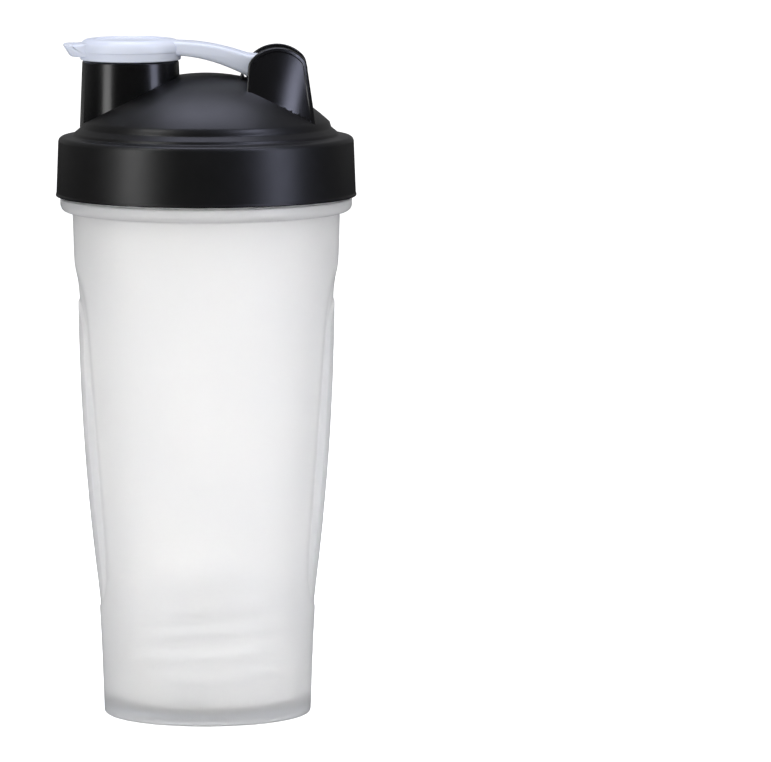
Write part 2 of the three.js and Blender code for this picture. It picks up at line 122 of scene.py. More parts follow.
def bevelEdges(bm, edges, offset, segments=3):
    bmesh.ops.bevel(bm, geom=edges, offset=offset, offset_type="OFFSET", segments=segments,
                    profile=0.5, affect="EDGES", material=-1)


def slab(corners, lowY, highY, edgeRound):
    # an outline in the XZ plane given a thickness along Y, with both its rims rounded
    bm = bmesh.new()
    chain(bm, corners, closed=True)
    bmesh.ops.contextual_create(bm, geom=bm.edges[:])
    bmesh.ops.translate(bm, verts=bm.verts, vec=(0, lowY, 0))
    grown = bmesh.ops.extrude_face_region(bm, geom=bm.faces[:])
    fresh = [g for g in grown["geom"] if isinstance(g, bmesh.types.BMVert)]
    bmesh.ops.translate(bm, verts=fresh, vec=(0, highY - lowY, 0))
    bmesh.ops.recalc_face_normals(bm, faces=bm.faces)
    if edgeRound:
        rims = [e for e in bm.edges if abs(e.verts[0].co.y - e.verts[1].co.y) < 1e-4]
        bevelEdges(bm, rims, edgeRound)
    return bm


def threadRidge(rootRadius, tipRadius, midZ, midAngle, turns, thread):
    # a trapezium wound up the wall as a screw, rising and dying away at its two ends
    outward = math.copysign(1, tipRadius - rootRadius)
    half = thread["rootWidth"] / 2
    tip = thread["tipWidth"] / 2
    inside = rootRadius - outward * thread["root"]
    bm = bmesh.new()
    chain(bm, [
        (inside, -half, 0), (rootRadius, -half, 0), (tipRadius, -tip, thread["tipRound"]),
        (tipRadius, tip, thread["tipRound"]), (rootRadius, half, 0), (inside, half, 0),
    ], closed=True)
    bmesh.ops.contextual_create(bm, geom=bm.edges[:])
    steps = int(turns * thread["stepsPerTurn"])
    rise = thread["lead"] * turns
    startTurn = Matrix.Rotation(midAngle - math.pi * turns, 3, "Z")
    bmesh.ops.translate(bm, verts=bm.verts, vec=(0, 0, midZ - rise / 2))
    bmesh.ops.rotate(bm, verts=bm.verts, cent=(0, 0, 0), matrix=startTurn)
    bmesh.ops.spin(bm, geom=bm.faces[:], cent=(0, 0, 0), axis=(0, 0, 1),
                   dvec=(0, 0, rise / steps), angle=2 * math.pi * turns, steps=steps,
                   use_merge=False, use_duplicate=False)
    bmesh.ops.recalc_face_normals(bm, faces=bm.faces)
    for v in bm.verts:
        radius = math.hypot(v.co.x, v.co.y)
        beyond = outward * (radius - rootRadius)
        if beyond <= 0:
            continue
        around = math.atan2(v.co.y, v.co.x) - midAngle
        wound = (v.co.z - midZ) / thread["lead"]
        wound += ((around / (2 * math.pi) - wound + 0.5) % 1.0) - 0.5
        fade = min(1.0, max(thread["leastRise"], (turns / 2 - abs(wound)) / thread["fade"]))
        wanted = rootRadius + outward * beyond * fade
        v.co.x *= wanted / radius
        v.co.y *= wanted / radius
    return bm


def scrapMesh(part):
    mesh = bpy.data.meshes.new("scrap")
    part.to_mesh(mesh)
    part.free()
    return mesh


def merged(*parts):
    # separate closed shells in one bmesh
    whole = bmesh.new()
    for part in parts:
        mesh = scrapMesh(part)
        whole.from_mesh(mesh)
        bpy.data.meshes.remove(mesh)
    return whole


def boolean(base, other, operation):
    # two closed shapes joined or cut by the named operation
    made = []
    for part in (base, other):
        scrap = bpy.data.objects.new("scrap", scrapMesh(part))
        bpy.context.scene.collection.objects.link(scrap)
        made.append(scrap)
    modifier = made[0].modifiers.new("join", "BOOLEAN")
    modifier.operation = operation
    modifier.object = made[1]
    modifier.solver = "MANIFOLD"
    bpy.context.view_layer.update()
    result = made[0].evaluated_get(bpy.context.evaluated_depsgraph_get()).to_mesh()
    whole = bmesh.new()
    whole.from_mesh(result)
    for scrap in made:
        mesh = scrap.data
        bpy.data.objects.remove(scrap)
        bpy.data.meshes.remove(mesh)
    return whole


finish = {"slimmest": 0.0005, "metresPerMm": 0.001, "sharpDeg": 38}


def finishPiece(name, bm, materials, body, node):
    bmesh.ops.dissolve_degenerate(bm, dist=finish["slimmest"], edges=bm.edges)
    bmesh.ops.scale(bm, vec=[finish["metresPerMm"]] * 3, verts=bm.verts)
    mesh = bpy.data.meshes.new(name)
    bm.to_mesh(mesh)
    bm.free()
    mesh.shade_smooth()
    mesh.set_sharp_from_angle(angle=math.radians(finish["sharpDeg"]))
    for material in materials:
        mesh.materials.append(material)
    piece = bpy.data.objects.new(name, mesh)
    bpy.context.scene.collection.objects.link(piece)
    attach(piece, body)
    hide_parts(node)
    print(name, "made:", len(mesh.polygons), "faces")
    return piece


# Helpers for node materials.

def colour(hexText):
    channels = [int(hexText[i:i + 2], 16) / 255 for i in (1, 3, 5)]
    linear = [c / 12.92 if c <= 0.04045 else ((c + 0.055) / 1.055) ** 2.4 for c in channels]
    return (*linear, 1.0)


def addNode(tree, kind, links=None, **settings):
    # links maps an input's name or number to a socket or a value
    node = tree.nodes.new(kind)
    for key, value in settings.items():
        setattr(node, key, value)
    for key, value in (links or {}).items():
        if isinstance(value, bpy.types.NodeSocket):
            tree.links.new(value, node.inputs[key])
        else:
            node.inputs[key].default_value = value
    return node


def newMaterial(name):
    material = bpy.data.materials.new(name)
    material.use_nodes = True
    material.node_tree.nodes.clear()
    return material, material.node_tree


def grain(tree, place, sizeMm, detail=2.0):
    # noise whose grains are about sizeMm across
    return addNode(tree, "ShaderNodeTexNoise",
                   {"Vector": place, "Scale": 1000 / sizeMm, "Detail": detail})


def ranged(tree, value, low, high):
    # a 0 to 1 pattern brought between two values
    node = addNode(tree, "ShaderNodeMapRange",
                   {"Value": value, "From Min": 0.3, "From Max": 0.7, "To Min": low, "To Max": high})
    return node.outputs["Result"]


def mixedColour(tree, factor, first, second):
    node = addNode(tree, "ShaderNodeMix", data_type="RGBA")
    tree.links.new(factor, node.inputs["Factor"])
    node.inputs[6].default_value = colour(first)
    node.inputs[7].default_value = colour(second)
    return node.outputs[2]


# The six materials. Sizes of grain are in millimetres.

def milkyPolypropylene():
    # unpigmented polypropylene, injection moulded in a lightly blasted tool: light comes through
    # blurred, the wall looks white face on and blue-grey where it is seen edge on
    material, tree = newMaterial("milky_polypropylene_moulded")
    place = addNode(tree, "ShaderNodeTexCoord").outputs["Object"]
    cloud = grain(tree, place, 28).outputs["Fac"]  # slow swirls left by the flow of the melt
    frost = grain(tree, place, 0.9, 3).outputs["Fac"]  # blasted skin, coarser than the real 0.1 mm
    bump = addNode(tree, "ShaderNodeBump", {"Height": frost, "Strength": 0.12, "Distance": 0.0001})
    base = mixedColour(tree, cloud, "#f5f5f5", "#fbfaf8")
    shader = addNode(tree, "ShaderNodeBsdfPrincipled", {
        "Base Color": base,
        "Roughness": ranged(tree, cloud, 0.42, 0.5),
        "IOR": 1.49,
        "Transmission Weight": 0.7,
        "Normal": bump.outputs["Normal"],
    })
    depth = addNode(tree, "ShaderNodeVolumeAbsorption", {"Color": colour("#c3c9d6"), "Density": 26.0})
    addNode(tree, "ShaderNodeOutputMaterial",
            {"Surface": shader.outputs["BSDF"], "Volume": depth.outputs["Volume"]})
    return material


def blackPolypropylene(name, roughLow, roughHigh, grainMm, grainStrength):
    material, tree = newMaterial(name)
    place = addNode(tree, "ShaderNodeTexCoord").outputs["Object"]
    skin = grain(tree, place, grainMm, 3).outputs["Fac"]
    handled = grain(tree, place, 14).outputs["Fac"]  # patches where fingers have rubbed the sheen
    bump = addNode(tree, "ShaderNodeBump",
                   {"Height": skin, "Strength": grainStrength, "Distance": 0.0001})
    shader = addNode(tree, "ShaderNodeBsdfPrincipled", {
        "Base Color": mixedColour(tree, handled, "#09090a", "#0d0d0f"),
        "Roughness": ranged(tree, handled, roughLow, roughHigh),
        "IOR": 1.49,
        "Normal": bump.outputs["Normal"],
    })
    addNode(tree, "ShaderNodeOutputMaterial", {"Surface": shader.outputs["BSDF"]})
    return material


def satinBlack():
    # black polypropylene from a fine-textured tool: broad soft highlights with no sharp edge
    return blackPolypropylene("black_polypropylene_satin", 0.36, 0.42, 0.7, 0.14)


def polishedBlack():
    # the same moulding where the tool was polished: narrow, brighter streaks of light
    return blackPolypropylene("black_polypropylene_polished", 0.21, 0.26, 1.6, 0.03)


def coolWhite():
    # white pigmented polypropylene, gloss moulded: slightly blue, light bleeds a little in thin parts
    material, tree = newMaterial("white_polypropylene_gloss")
    place = addNode(tree, "ShaderNodeTexCoord").outputs["Object"]
    skin = grain(tree, place, 1.2, 2).outputs["Fac"]
    cloud = grain(tree, place, 11).outputs["Fac"]
    bump = addNode(tree, "ShaderNodeBump", {"Height": skin, "Strength": 0.05, "Distance": 0.0001})
    shader = addNode(tree, "ShaderNodeBsdfPrincipled", {
        "Base Color": mixedColour(tree, cloud, "#d6dcec", "#dee4f1"),
        "Roughness": ranged(tree, cloud, 0.3, 0.36),
        "IOR": 1.49,
        "Subsurface Weight": 0.25,
        "Subsurface Radius": (0.9, 1.0, 1.2),
        "Subsurface Scale": 0.0012,
        "Normal": bump.outputs["Normal"],
    })
    addNode(tree, "ShaderNodeOutputMaterial", {"Surface": shader.outputs["BSDF"]})
    return material


def paleSilicone():
    # pressed silicone rubber: dull, faintly translucent, with a dusty skin
    material, tree = newMaterial("silicone_rubber_pressed")
    place = addNode(tree, "ShaderNodeTexCoord").outputs["Object"]
    dust = grain(tree, place, 0.8, 3).outputs["Fac"]
    bump = addNode(tree, "ShaderNodeBump", {"Height": dust, "Strength": 0.2, "Distance": 0.0001})
    shader = addNode(tree, "ShaderNodeBsdfPrincipled", {
        "Base Color": mixedColour(tree, dust, "#cfd1d4", "#dcdddf"),
        "Roughness": ranged(tree, dust, 0.55, 0.66),
        "IOR": 1.41,
        "Subsurface Weight": 0.3,
        "Subsurface Radius": (1.0, 1.0, 1.0),
        "Subsurface Scale": 0.001,
        "Normal": bump.outputs["Normal"],
    })
    addNode(tree, "ShaderNodeOutputMaterial", {"Surface": shader.outputs["BSDF"]})
    return material


def stainlessWire():
    # drawn and electropolished stainless wire: bright, with a soft blur along its length
    material, tree = newMaterial("stainless_wire_drawn")
    place = addNode(tree, "ShaderNodeTexCoord").outputs["Object"]
    drawn = grain(tree, place, 1.5, 4).outputs["Fac"]
    bump = addNode(tree, "ShaderNodeBump", {"Height": drawn, "Strength": 0.08, "Distance": 0.0001})
    shader = addNode(tree, "ShaderNodeBsdfPrincipled", {
        "Base Color": mixedColour(tree, drawn, "#c4c6ca", "#d3d4d6"),
        "Metallic": 1.0,
        "Roughness": ranged(tree, drawn, 0.16, 0.26),
        "Normal": bump.outputs["Normal"],
    })
    addNode(tree, "ShaderNodeOutputMaterial", {"Surface": shader.outputs["BSDF"]})
    return material


# The screw thread, shared by cup and lid.

thread = {
    "lead": 9,
    "starts": 2,
    "depth": 1.7,
    "rootWidth": 2.2,
    "tipWidth": 1.1,
    "root": 0.5,  # how deep a ridge is rooted in its wall
    "fade": 0.09,  # part of a turn over which it rises
    "tipRound": 0.25,
    "stepsPerTurn": 120,
    "leastRise": 0.02,  # of its height, so that the ends keep their faces
}


def ridges(rootRadius, tipRadius, midZ, turns, lowered):
    # each ridge's angle follows from the height of its middle, so that cup and lid run together
    meetZ = (lidLow.z + cupHigh.z) / 2
    wound = [(midZ + lowered - meetZ) / thread["lead"] + i / thread["starts"]
             for i in range(thread["starts"])]
    return merged(*[threadRidge(rootRadius, tipRadius, midZ, 2 * math.pi * w, turns, thread)
                    for w in wound])


# The cup: taper, grips, collar, neck and thread.

cup = {
    "mouth": 41.5,
    "neck": 43.3,
    "neckHeight": 16.5,
    "collarHeight": 4.2,
    "collarRound": 2.2,
    "floor": 3.6,
    "recess": 1,
    "recessRadius": 28.5,
    "foot": 33.6,
    "wall": 1.8,
    "taperFoot": (34.9, 34),
    "taperTop": (42.8, 146),
    "threadTurns": 0.95,
    "threadDrop": 3.6,
    "rimRound": 0.6,
    "footBend": 9,  # lengths over which the wall's straight stretches run into each other
    "topBend": 7,
    "rowsOutside": 1.3,  # greatest heights of the rows of faces
    "rowsElsewhere": 4,
}
window = {"halfWidth": 19, "foot": 34, "top": 148, "corner": 14, "depth": 0.95,
          "sideRamp": 6.5, "endRamp": 9, "margin": 2}
pad = {"halfWidth": 12, "foot": 35, "top": 135, "bulge": 1.1, "ramp": 1.1, "fineBand": 2,
       "overrun": 0.05}  # overrun is a share of its length


def roundedDistance(across, up, halfWidth, foot, top, corner):
    # how far a point lies outside an upright rounded rectangle, below 0 inside it
    side = abs(across) - halfWidth + corner
    end = abs(up - (foot + top) / 2) - (top - foot) / 2 + corner
    outside = math.hypot(max(side, 0), max(end, 0))
    return outside + min(max(side, end), 0) - corner


def windowDistance(v):
    return roundedDistance(v.co.y, v.co.z, window["halfWidth"], window["foot"], window["top"],
                           window["corner"])


def padDistance(v):
    return roundedDistance(v.co.y, v.co.z, pad["halfWidth"], pad["foot"], pad["top"],
                           pad["halfWidth"])


def smooth(t):
    t = min(1.0, max(0.0, t))
    return t * t * (3 - 2 * t)


def gripOffset(v):
    # how far the outer face moves in for the window and out for the pad
    half = (window["top"] - window["foot"]) / 2
    middle = (window["top"] + window["foot"]) / 2
    atEnd = smooth((abs(v.co.z - middle) - half + window["corner"] * 1.5) / window["corner"])
    ramp = window["sideRamp"] + (window["endRamp"] - window["sideRamp"]) * atEnd
    sunk = -window["depth"] * smooth(-windowDistance(v) / ramp)
    along = (v.co.z - pad["foot"]) / (pad["top"] - pad["foot"])
    endSink = window["depth"] / 2
    face = 4 * along * (1 - along) * (pad["bulge"] + endSink) - endSink
    share = smooth(0.5 - padDistance(v) / pad["ramp"])
    if -pad["overrun"] < along < 1 + pad["overrun"]:
        return sunk * (1 - share) + face * share
    return sunk


def cupShell():
    collarTop = cupHigh.z - cup["neckHeight"]
    collarFoot = collarTop - cup["collarHeight"]
    collar = cupHigh.x
    footX, footZ = cup["taperFoot"]
    topX, topZ = cup["taperTop"]
    wall = cup["wall"]
    recess = cup["recess"]
    bm = bmesh.new()
    chain(bm, [
        (0, recess, 0), (cup["recessRadius"], recess, 0.5),
        (cup["recessRadius"] + recess, 0, 0.4), (cup["foot"], 0, 0.9),
        (footX, footZ, cup["footBend"]), (topX, topZ, cup["topBend"]),
        (cup["neck"], collarFoot, 0.7), (collar, collarFoot, cup["collarRound"]),
        (collar, collarTop, 0.5), (cup["neck"], collarTop, 0.4),
        (cup["neck"], cupHigh.z, cup["rimRound"]), (cup["mouth"], cupHigh.z, cup["rimRound"]),
        (cup["mouth"], collarFoot, 5), (topX - wall, topZ, cup["topBend"]),
        (footX - wall, footZ, cup["footBend"]),
        (cup["foot"] - wall, cup["floor"], 4), (0, cup["floor"], 0),
    ])

    def outside(edge):
        # on the outer face of the wall, between the foot and the collar
        ends = [v.co for v in edge.verts]
        upright = min(p.z for p in ends) > recess / 2 and max(p.z for p in ends) < collarFoot
        return upright and min(p.x - outerRadius(p.z) for p in ends) > -wall / 3

    splitLong(bm, cup["rowsOutside"], outside)
    splitLong(bm, cup["rowsElsewhere"])
    spinRound(bm)
    return bm


def outerRadius(z):
    # the long taper, before the grips are pressed into it
    footX, footZ = cup["taperFoot"]
    topX, topZ = cup["taperTop"]
    if z < footZ:
        return cup["foot"] + (footX - cup["foot"]) * z / footZ
    return footX + (topX - footX) * (z - footZ) / (topZ - footZ)


def onOutside(v):
    return math.hypot(v.co.x, v.co.y) > outerRadius(v.co.z) - cup["wall"] / 2


def pressGrips(bm):
    # finer faces along the rims of the pads first, then every outer vertex moves in or out
    near = {v for v in bm.verts if abs(padDistance(v)) < pad["fineBand"] and onOutside(v)}
    rims = [e for e in bm.edges if e.verts[0] in near and e.verts[1] in near]
    bmesh.ops.subdivide_edges(bm, edges=rims, cuts=1, use_grid_fill=True)
    lowZ = window["foot"] - window["margin"]
    highZ = window["top"] + window["margin"]
    for v in bm.verts:
        if lowZ < v.co.z < highZ and onOutside(v):
            radius = math.hypot(v.co.x, v.co.y)
            share = (radius + gripOffset(v)) / radius
            v.co.x *= share
            v.co.y *= share


def makeCup():
    bm = cupShell()
    pressGrips(bm)
    turns = cup["threadTurns"]
    midZ = cupHigh.z - cup["threadDrop"] - thread["lead"] * turns / 2
    bm = boolean(bm, ridges(cup["neck"], cup["neck"] + thread["depth"], midZ, turns, 0), "UNION")
    finishPiece("cup_milky", bm, [milkyPolypropylene()], "cup", "cup")


# The lid: skirt, dome, spout, ears, stop rib and thread.

lid = {
    "skirtInside": 45.7,
    "skirtTop": 47.75,
    "bead": 0.2,
    "beadHeight": 1,
    "ceiling": 186.8,
    "shoulderRise": 1.1,
    "domeEdge": 40,
    "domeEdgeRise": 5.8,
    "domeRise": 21.6,
    "domeWall": 2,
    "domeStep": (0.5, 1.7),  # width and drop of the step at the edge of the dome
    "brim": (2.1, 1.7),
    "brimStep": (0.4, 0.9),
    "plug": 41.2,
    "plugWall": 2,
    "plugDepth": 10.8,
    "threadTurns": 0.7,
    "threadRise": 1.8,
}
spout = {"x": -24.3, "radius": 15.6, "flare": 0.9, "bore": 13.6, "rise": 4.1}
ear = {
    "rise": 7.5,  # hinge axis to the top of the arch
    "topRound": 11.5,
    "cornerRound": 5,
    "flareFront": 1.6,
    "flareRear": 2.9,
    "topHalf": 11,  # centre plane to the outer face, at the top and at the root
    "footHalf": 27.4,
    "planRound": 22.7,
    "lead": 5.1,
    "gapHalf": 8.6,
    "root": 19.5,
    "rim": 1.1,
    "panel": 0.35,
    "edge": 0.4,
    "panelStep": 0.3,
    "socket": 2.5,
    "socketDepth": 2.6,
    "slabThick": 3,  # before its outer face is moved
    "slicesAcross": 28,
    "slicesUp": 24,
}
rib = {"heel": 9.6, "gap": 0.5, "foot": 2.4, "top": 0.75, "rise": 0.4, "halfWidth": 7}

domeHeight = lid["domeRise"] - lid["domeEdgeRise"]
domeRadius = (lid["domeEdge"] ** 2 + domeHeight ** 2) / (2 * domeHeight)
domeTopZ = lid["ceiling"] + lid["domeRise"]
domeCentreZ = domeTopZ - domeRadius


def domeZ(radius):
    return domeCentreZ + math.sqrt(domeRadius ** 2 - radius ** 2)


def domeArc(sunk, edge, steps):
    # from the top of the dome out to a radius, as corners of a profile
    radius = domeRadius - sunk
    span = math.degrees(math.asin(edge / radius))
    return arcCorners(0, domeCentreZ, radius, 90, 90 - span, steps)


def lidShell():
    edgeZ = domeZ(lid["domeEdge"])
    foot = lidHigh.x - lid["bead"]
    plugInside = lid["plug"] - lid["plugWall"]
    plugFoot = lid["ceiling"] - lid["plugDepth"]
    corners = domeArc(0, lid["domeEdge"], 40)
    x, z = lid["domeEdge"], edgeZ
    for (wide, drop), rounding in ((lid["domeStep"], 0.35), (lid["brim"], 0.4),
                                   (lid["brimStep"], 0.3)):
        x, z = x + wide, z - drop
        corners.append((x, z, rounding))
    corners += [
        (lid["skirtTop"], lid["ceiling"] + lid["shoulderRise"], 1.5),
        (foot, lidLow.z + lid["beadHeight"], 0.2),
        (lidHigh.x, lidLow.z + lid["beadHeight"] * 0.6, 0.2), (lidHigh.x, lidLow.z, 0.25),
        (lid["skirtInside"], lidLow.z, 0.4), (lid["skirtInside"], lid["ceiling"], 0.5),
        (lid["plug"], lid["ceiling"], 0.4), (lid["plug"], plugFoot, 0.4),
        (plugInside, plugFoot, 0.4),
    ]
    corners += domeArc(lid["domeWall"], plugInside, 30)[::-1]
    return turned(corners)


def spoutPost():
    lowZ = domeZ(spout["radius"] - spout["x"]) - lid["domeWall"]
    highZ = domeTopZ + spout["rise"]
    foot = spout["radius"] + spout["flare"]
    return turned([(0, lowZ, 0), (foot, lowZ, 0), (spout["radius"], highZ, 0.6), (0, highZ, 0)],
                  160, spout["x"])


def underDome():
    # everything below the middle of the dome's wall
    sunk = lid["domeWall"] / 2
    arc = domeArc(sunk, lid["domeEdge"], 40)
    return turned(arc + [(lid["domeEdge"], lidLow.z, 0), (0, lidLow.z, 0)], postSteps)


def earOuter(x, z):
    # the outer face's distance from the centre plane: round in plan, leaning in on the way up
    across = min(abs(x - hingeX + ear["lead"]), ear["planRound"])
    plan = ear["footHalf"] - ear["planRound"] + math.sqrt(ear["planRound"] ** 2 - across ** 2)
    below = (hingeZ + ear["rise"] - z) / (ear["root"] + ear["rise"])
    return plan / ear["footHalf"] * (ear["topHalf"] + (ear["footHalf"] - ear["topHalf"]) * below)


def earArch():
    # the side view of an ear, from its rear foot over the top to its front foot
    spread = (ear["topRound"] - ear["cornerRound"]) * math.sin(math.radians(45))
    middleZ = hingeZ + ear["rise"] - ear["topRound"]
    shoulderZ = middleZ + spread
    across = spread + ear["cornerRound"]
    footZ = hingeZ - ear["root"]
    corners = [(hingeX + across + ear["flareRear"], footZ, 0)]
    corners += arcCorners(hingeX + spread, shoulderZ, ear["cornerRound"], 0, 45, 8)
    corners += arcCorners(hingeX, middleZ, ear["topRound"], 45, 135, 20)[1:]
    corners += arcCorners(hingeX - spread, shoulderZ, ear["cornerRound"], 135, 180, 8)[1:]
    return corners + [(hingeX - across - ear["flareFront"], footZ, 0)]


def sliced(bm, point, direction):
    bmesh.ops.bisect_plane(bm, geom=bm.verts[:] + bm.edges[:] + bm.faces[:], dist=1e-4,
                           plane_co=point, plane_no=direction)


def oneEar():
    # a plain slab first, with the rim and the sunk panel, then every vertex goes to its own face
    outline = earArch()
    slabOuter = ear["gapHalf"] + ear["slabThick"]
    bm = slab(outline, ear["gapHalf"], slabOuter, ear["edge"])
    outer = max(bm.faces, key=lambda f: f.calc_center_median().y)
    bmesh.ops.inset_region(bm, faces=[outer], thickness=ear["rim"] - ear["edge"], depth=0,
                           use_even_offset=True, use_boundary=True)
    bmesh.ops.inset_region(bm, faces=[outer], thickness=ear["panelStep"], depth=-ear["panel"],
                           use_even_offset=True, use_boundary=True)
    highX, lowZ = outline[0][:2]
    lowX = outline[-1][0]
    topZ = hingeZ + ear["rise"]
    for i in range(1, ear["slicesAcross"]):
        sliced(bm, (lowX + (highX - lowX) * i / ear["slicesAcross"], 0, 0), (1, 0, 0))
    for i in range(1, ear["slicesUp"]):
        sliced(bm, (0, 0, lowZ + (topZ - lowZ) * i / ear["slicesUp"]), (0, 0, 1))
    for v in bm.verts:
        if v.co.y > ear["gapHalf"] + 1:
            v.co.y += earOuter(v.co.x, v.co.z) - slabOuter
    bmesh.ops.recalc_face_normals(bm, faces=bm.faces)
    return bm


def bothEars():
    near = oneEar()
    far = near.copy()
    bmesh.ops.scale(far, vec=(1, -1, 1), verts=far.verts)
    bmesh.ops.reverse_faces(far, faces=far.faces)
    return merged(near, far)


def stopRib():
    rearX = hingeX - rib["heel"] - rib["gap"]
    frontX = rearX - rib["foot"]
    topZ = domeZ(frontX) + rib["rise"]
    footZ = domeZ(frontX) - lid["domeWall"]
    return slab([(frontX, footZ, 0), (rearX, footZ, 0), (frontX + 2 * rib["top"], topZ, 0.25),
                 (frontX + rib["top"], topZ, 0.25)], -rib["halfWidth"], rib["halfWidth"], 0.25)


def socketPins():
    depth = ear["gapHalf"] + ear["socketDepth"]
    bm = turned([(0, -depth, 0), (ear["socket"], -depth, 0), (ear["socket"], depth, 0),
                 (0, depth, 0)], 48)
    return alongY(bm, hingeX, hingeZ)


def alongY(bm, x, z):
    # an upright turned shape laid along Y through a point
    bmesh.ops.rotate(bm, verts=bm.verts, cent=(0, 0, 0), matrix=Matrix.Rotation(math.pi / 2, 3, "X"))
    bmesh.ops.translate(bm, verts=bm.verts, vec=(x, 0, z))
    return bm


def setMaterial(bm, number):
    for face in bm.faces:
        face.material_index = number
    return bm


def makeLid():
    polished = boolean(spoutPost(), merged(bothEars(), stopRib()), "UNION")
    polished = setMaterial(boolean(polished, underDome(), "DIFFERENCE"), 1)
    bm = boolean(lidShell(), polished, "UNION")
    bore = setMaterial(post(spout["bore"], lidLow.z, lidHigh.z, spout["x"]), 1)
    bm = boolean(bm, bore, "DIFFERENCE")
    bm = boolean(bm, setMaterial(socketPins(), 1), "DIFFERENCE")
    turns = lid["threadTurns"]
    midZ = lidLow.z + lid["threadRise"] + thread["lead"] * turns / 2
    halfPitch = thread["lead"] / thread["starts"] / 2
    wound = ridges(lid["skirtInside"], lid["skirtInside"] - thread["depth"], midZ, turns, halfPitch)
    bm = boolean(bm, wound, "UNION")
    finishPiece("lid_black", bm, [satinBlack(), polishedBlack()], "lid", "lid")


# The gasket in the lid's ceiling.

gasket = {"gap": 0.3, "round": 0.35}


def makeGasket():
    inside = lid["plug"] + gasket["gap"]
    low, high = gasketLow.z, gasketHigh.z
    corner = gasket["round"]
    bm = bmesh.new()
    chain(bm, [(inside, low, corner), (gasketHigh.x, low, corner), (gasketHigh.x, high, corner),
               (inside, high, corner)], closed=True)
    spinRound(bm)
    finishPiece("gasket_silicone", bm, [paleSilicone()], "gasket", "lid_gasket")


# The flip cap: plate, plug, thumb tab, arm, hinge barrel and trunnions.

cap = {
    "radius": 16.6,
    "plate": 4.1,
    "round": 3.2,
    "collar": 2.7,
    "collarInset": 0.35,
    "dish": 11.5,
    "dishDepth": 0.6,
    "plug": 13.2,
    "plugWall": 1.5,
    "plugDepth": 5.6,
}
tab = {"halfWidth": 8, "round": 6, "slant": 2.6, "thick": 4.1, "drop": 1.6, "dip": 0.2,
       "edge": 0.7, "steps": 10}
arm = {
    "halfWidth": 7.4,
    "thick": 4.4,
    "drop": 0.7,
    "sag": 2.3,
    "endRise": 5,
    "rootRun": 12,
    "topRun": 8,
    "lowRun": 4.4,
    "lowRise": 2,
    "heel": 9.6,
    "heelDrop": 2.3,
    "heelLean": 1.2,
    "heelFace": 0.9,
    "edge": 1.2,
}
barrel = {"radius": 4, "half": 8.3, "trunnion": 2.2, "reach": 10.9}


def bezier(first, second, third, fourth, steps):
    # corners along a cubic curve, both ends included
    made = []
    for i in range(steps + 1):
        t = i / steps
        weights = ((1 - t) ** 3, 3 * t * (1 - t) ** 2, 3 * t * t * (1 - t), t ** 3)
        x, z = (sum(w * p[k] for w, p in zip(weights, (first, second, third, fourth)))
                for k in (0, 1))
        made.append((x, z, 0))
    return made


def capPlate():
    topZ = capHigh.z
    plateFoot = topZ - cap["plate"]
    foot = plateFoot - cap["collar"]
    plugInside = cap["plug"] - cap["plugWall"]
    plugFoot = foot - cap["plugDepth"]
    dish = topZ - cap["dishDepth"]
    collar = cap["radius"] - cap["collarInset"]
    return turned([
        (0, plateFoot, 0), (plugInside, plateFoot, 0.8), (plugInside, plugFoot, 0.4),
        (cap["plug"], plugFoot, 0.5), (cap["plug"], foot, 0.3), (collar, foot, 0.35),
        (collar, plateFoot - 0.1, 0.2), (cap["radius"], plateFoot, 0.3),
        (cap["radius"], topZ, cap["round"]), (cap["dish"], topZ, 0.25),
        (cap["dish"] - cap["dishDepth"], dish, 0.4), (0, dish, 0),
    ], 192, spout["x"])


def thumbTab():
    rootX = spout["x"] - cap["dish"]
    topZ = capHigh.z - tab["drop"]
    tipX = capLow.x
    lowZ = topZ - tab["thick"]
    corners = [(rootX, lowZ, 0), (rootX, capHigh.z - cap["dishDepth"], 0),
               (spout["x"] - cap["radius"], topZ - tab["dip"], 2), (tipX, topZ, 0),
               (tipX + tab["slant"], lowZ, 0)]
    bm = slab(corners, -tab["halfWidth"], tab["halfWidth"], 0)
    tips = [e for e in bm.edges if abs(abs(e.verts[0].co.y) - tab["halfWidth"]) < 0.01
            and abs(e.verts[0].co.y - e.verts[1].co.y) < 0.01
            and max(v.co.x for v in e.verts) < tipX + tab["slant"] + 0.01]
    bevelEdges(bm, tips, tab["round"], tab["steps"])
    rims = [e for e in bm.edges if e.is_manifold and e.calc_face_angle() > math.radians(50)
            and max(v.co.x for v in e.verts) < rootX - 0.01]
    bevelEdges(bm, rims, tab["edge"])
    return bm


def longArm():
    rootX = spout["x"] + cap["dish"] + cap["dishDepth"]
    rootZ = capHigh.z - arm["drop"]
    heelX = hingeX - arm["heel"]
    heelZ = hingeZ - arm["heelDrop"]
    toe = (heelX - arm["heelLean"], heelZ + arm["heelFace"])
    topEnd = (heelX, hingeZ + arm["endRise"])
    top = bezier(topEnd, (heelX - arm["topRun"], capHigh.z - arm["sag"]),
                 (rootX + arm["rootRun"], rootZ), (rootX, rootZ), 24)
    low = bezier((rootX, rootZ - arm["thick"]), (rootX + arm["rootRun"], rootZ - arm["thick"]),
                 (toe[0] - arm["lowRun"], toe[1] + arm["lowRise"]), toe, 24)
    corners = [(hingeX, hingeZ + barrel["radius"], 0)] + top + low
    corners += [(heelX, heelZ, 0), (hingeX, hingeZ - barrel["radius"], 0)]
    return slab(corners, -arm["halfWidth"], arm["halfWidth"], arm["edge"])


def hingeBarrel():
    half, reach = barrel["half"], barrel["reach"]
    thin, thick = barrel["trunnion"], barrel["radius"]
    bm = turned([(0, -reach, 0), (thin, -reach, 0.5), (thin, -half, 0.2), (thick, -half, 0.5),
                 (thick, half, 0.5), (thin, half, 0.2), (thin, reach, 0.5), (0, reach, 0)], 64)
    return alongY(bm, hingeX, hingeZ)


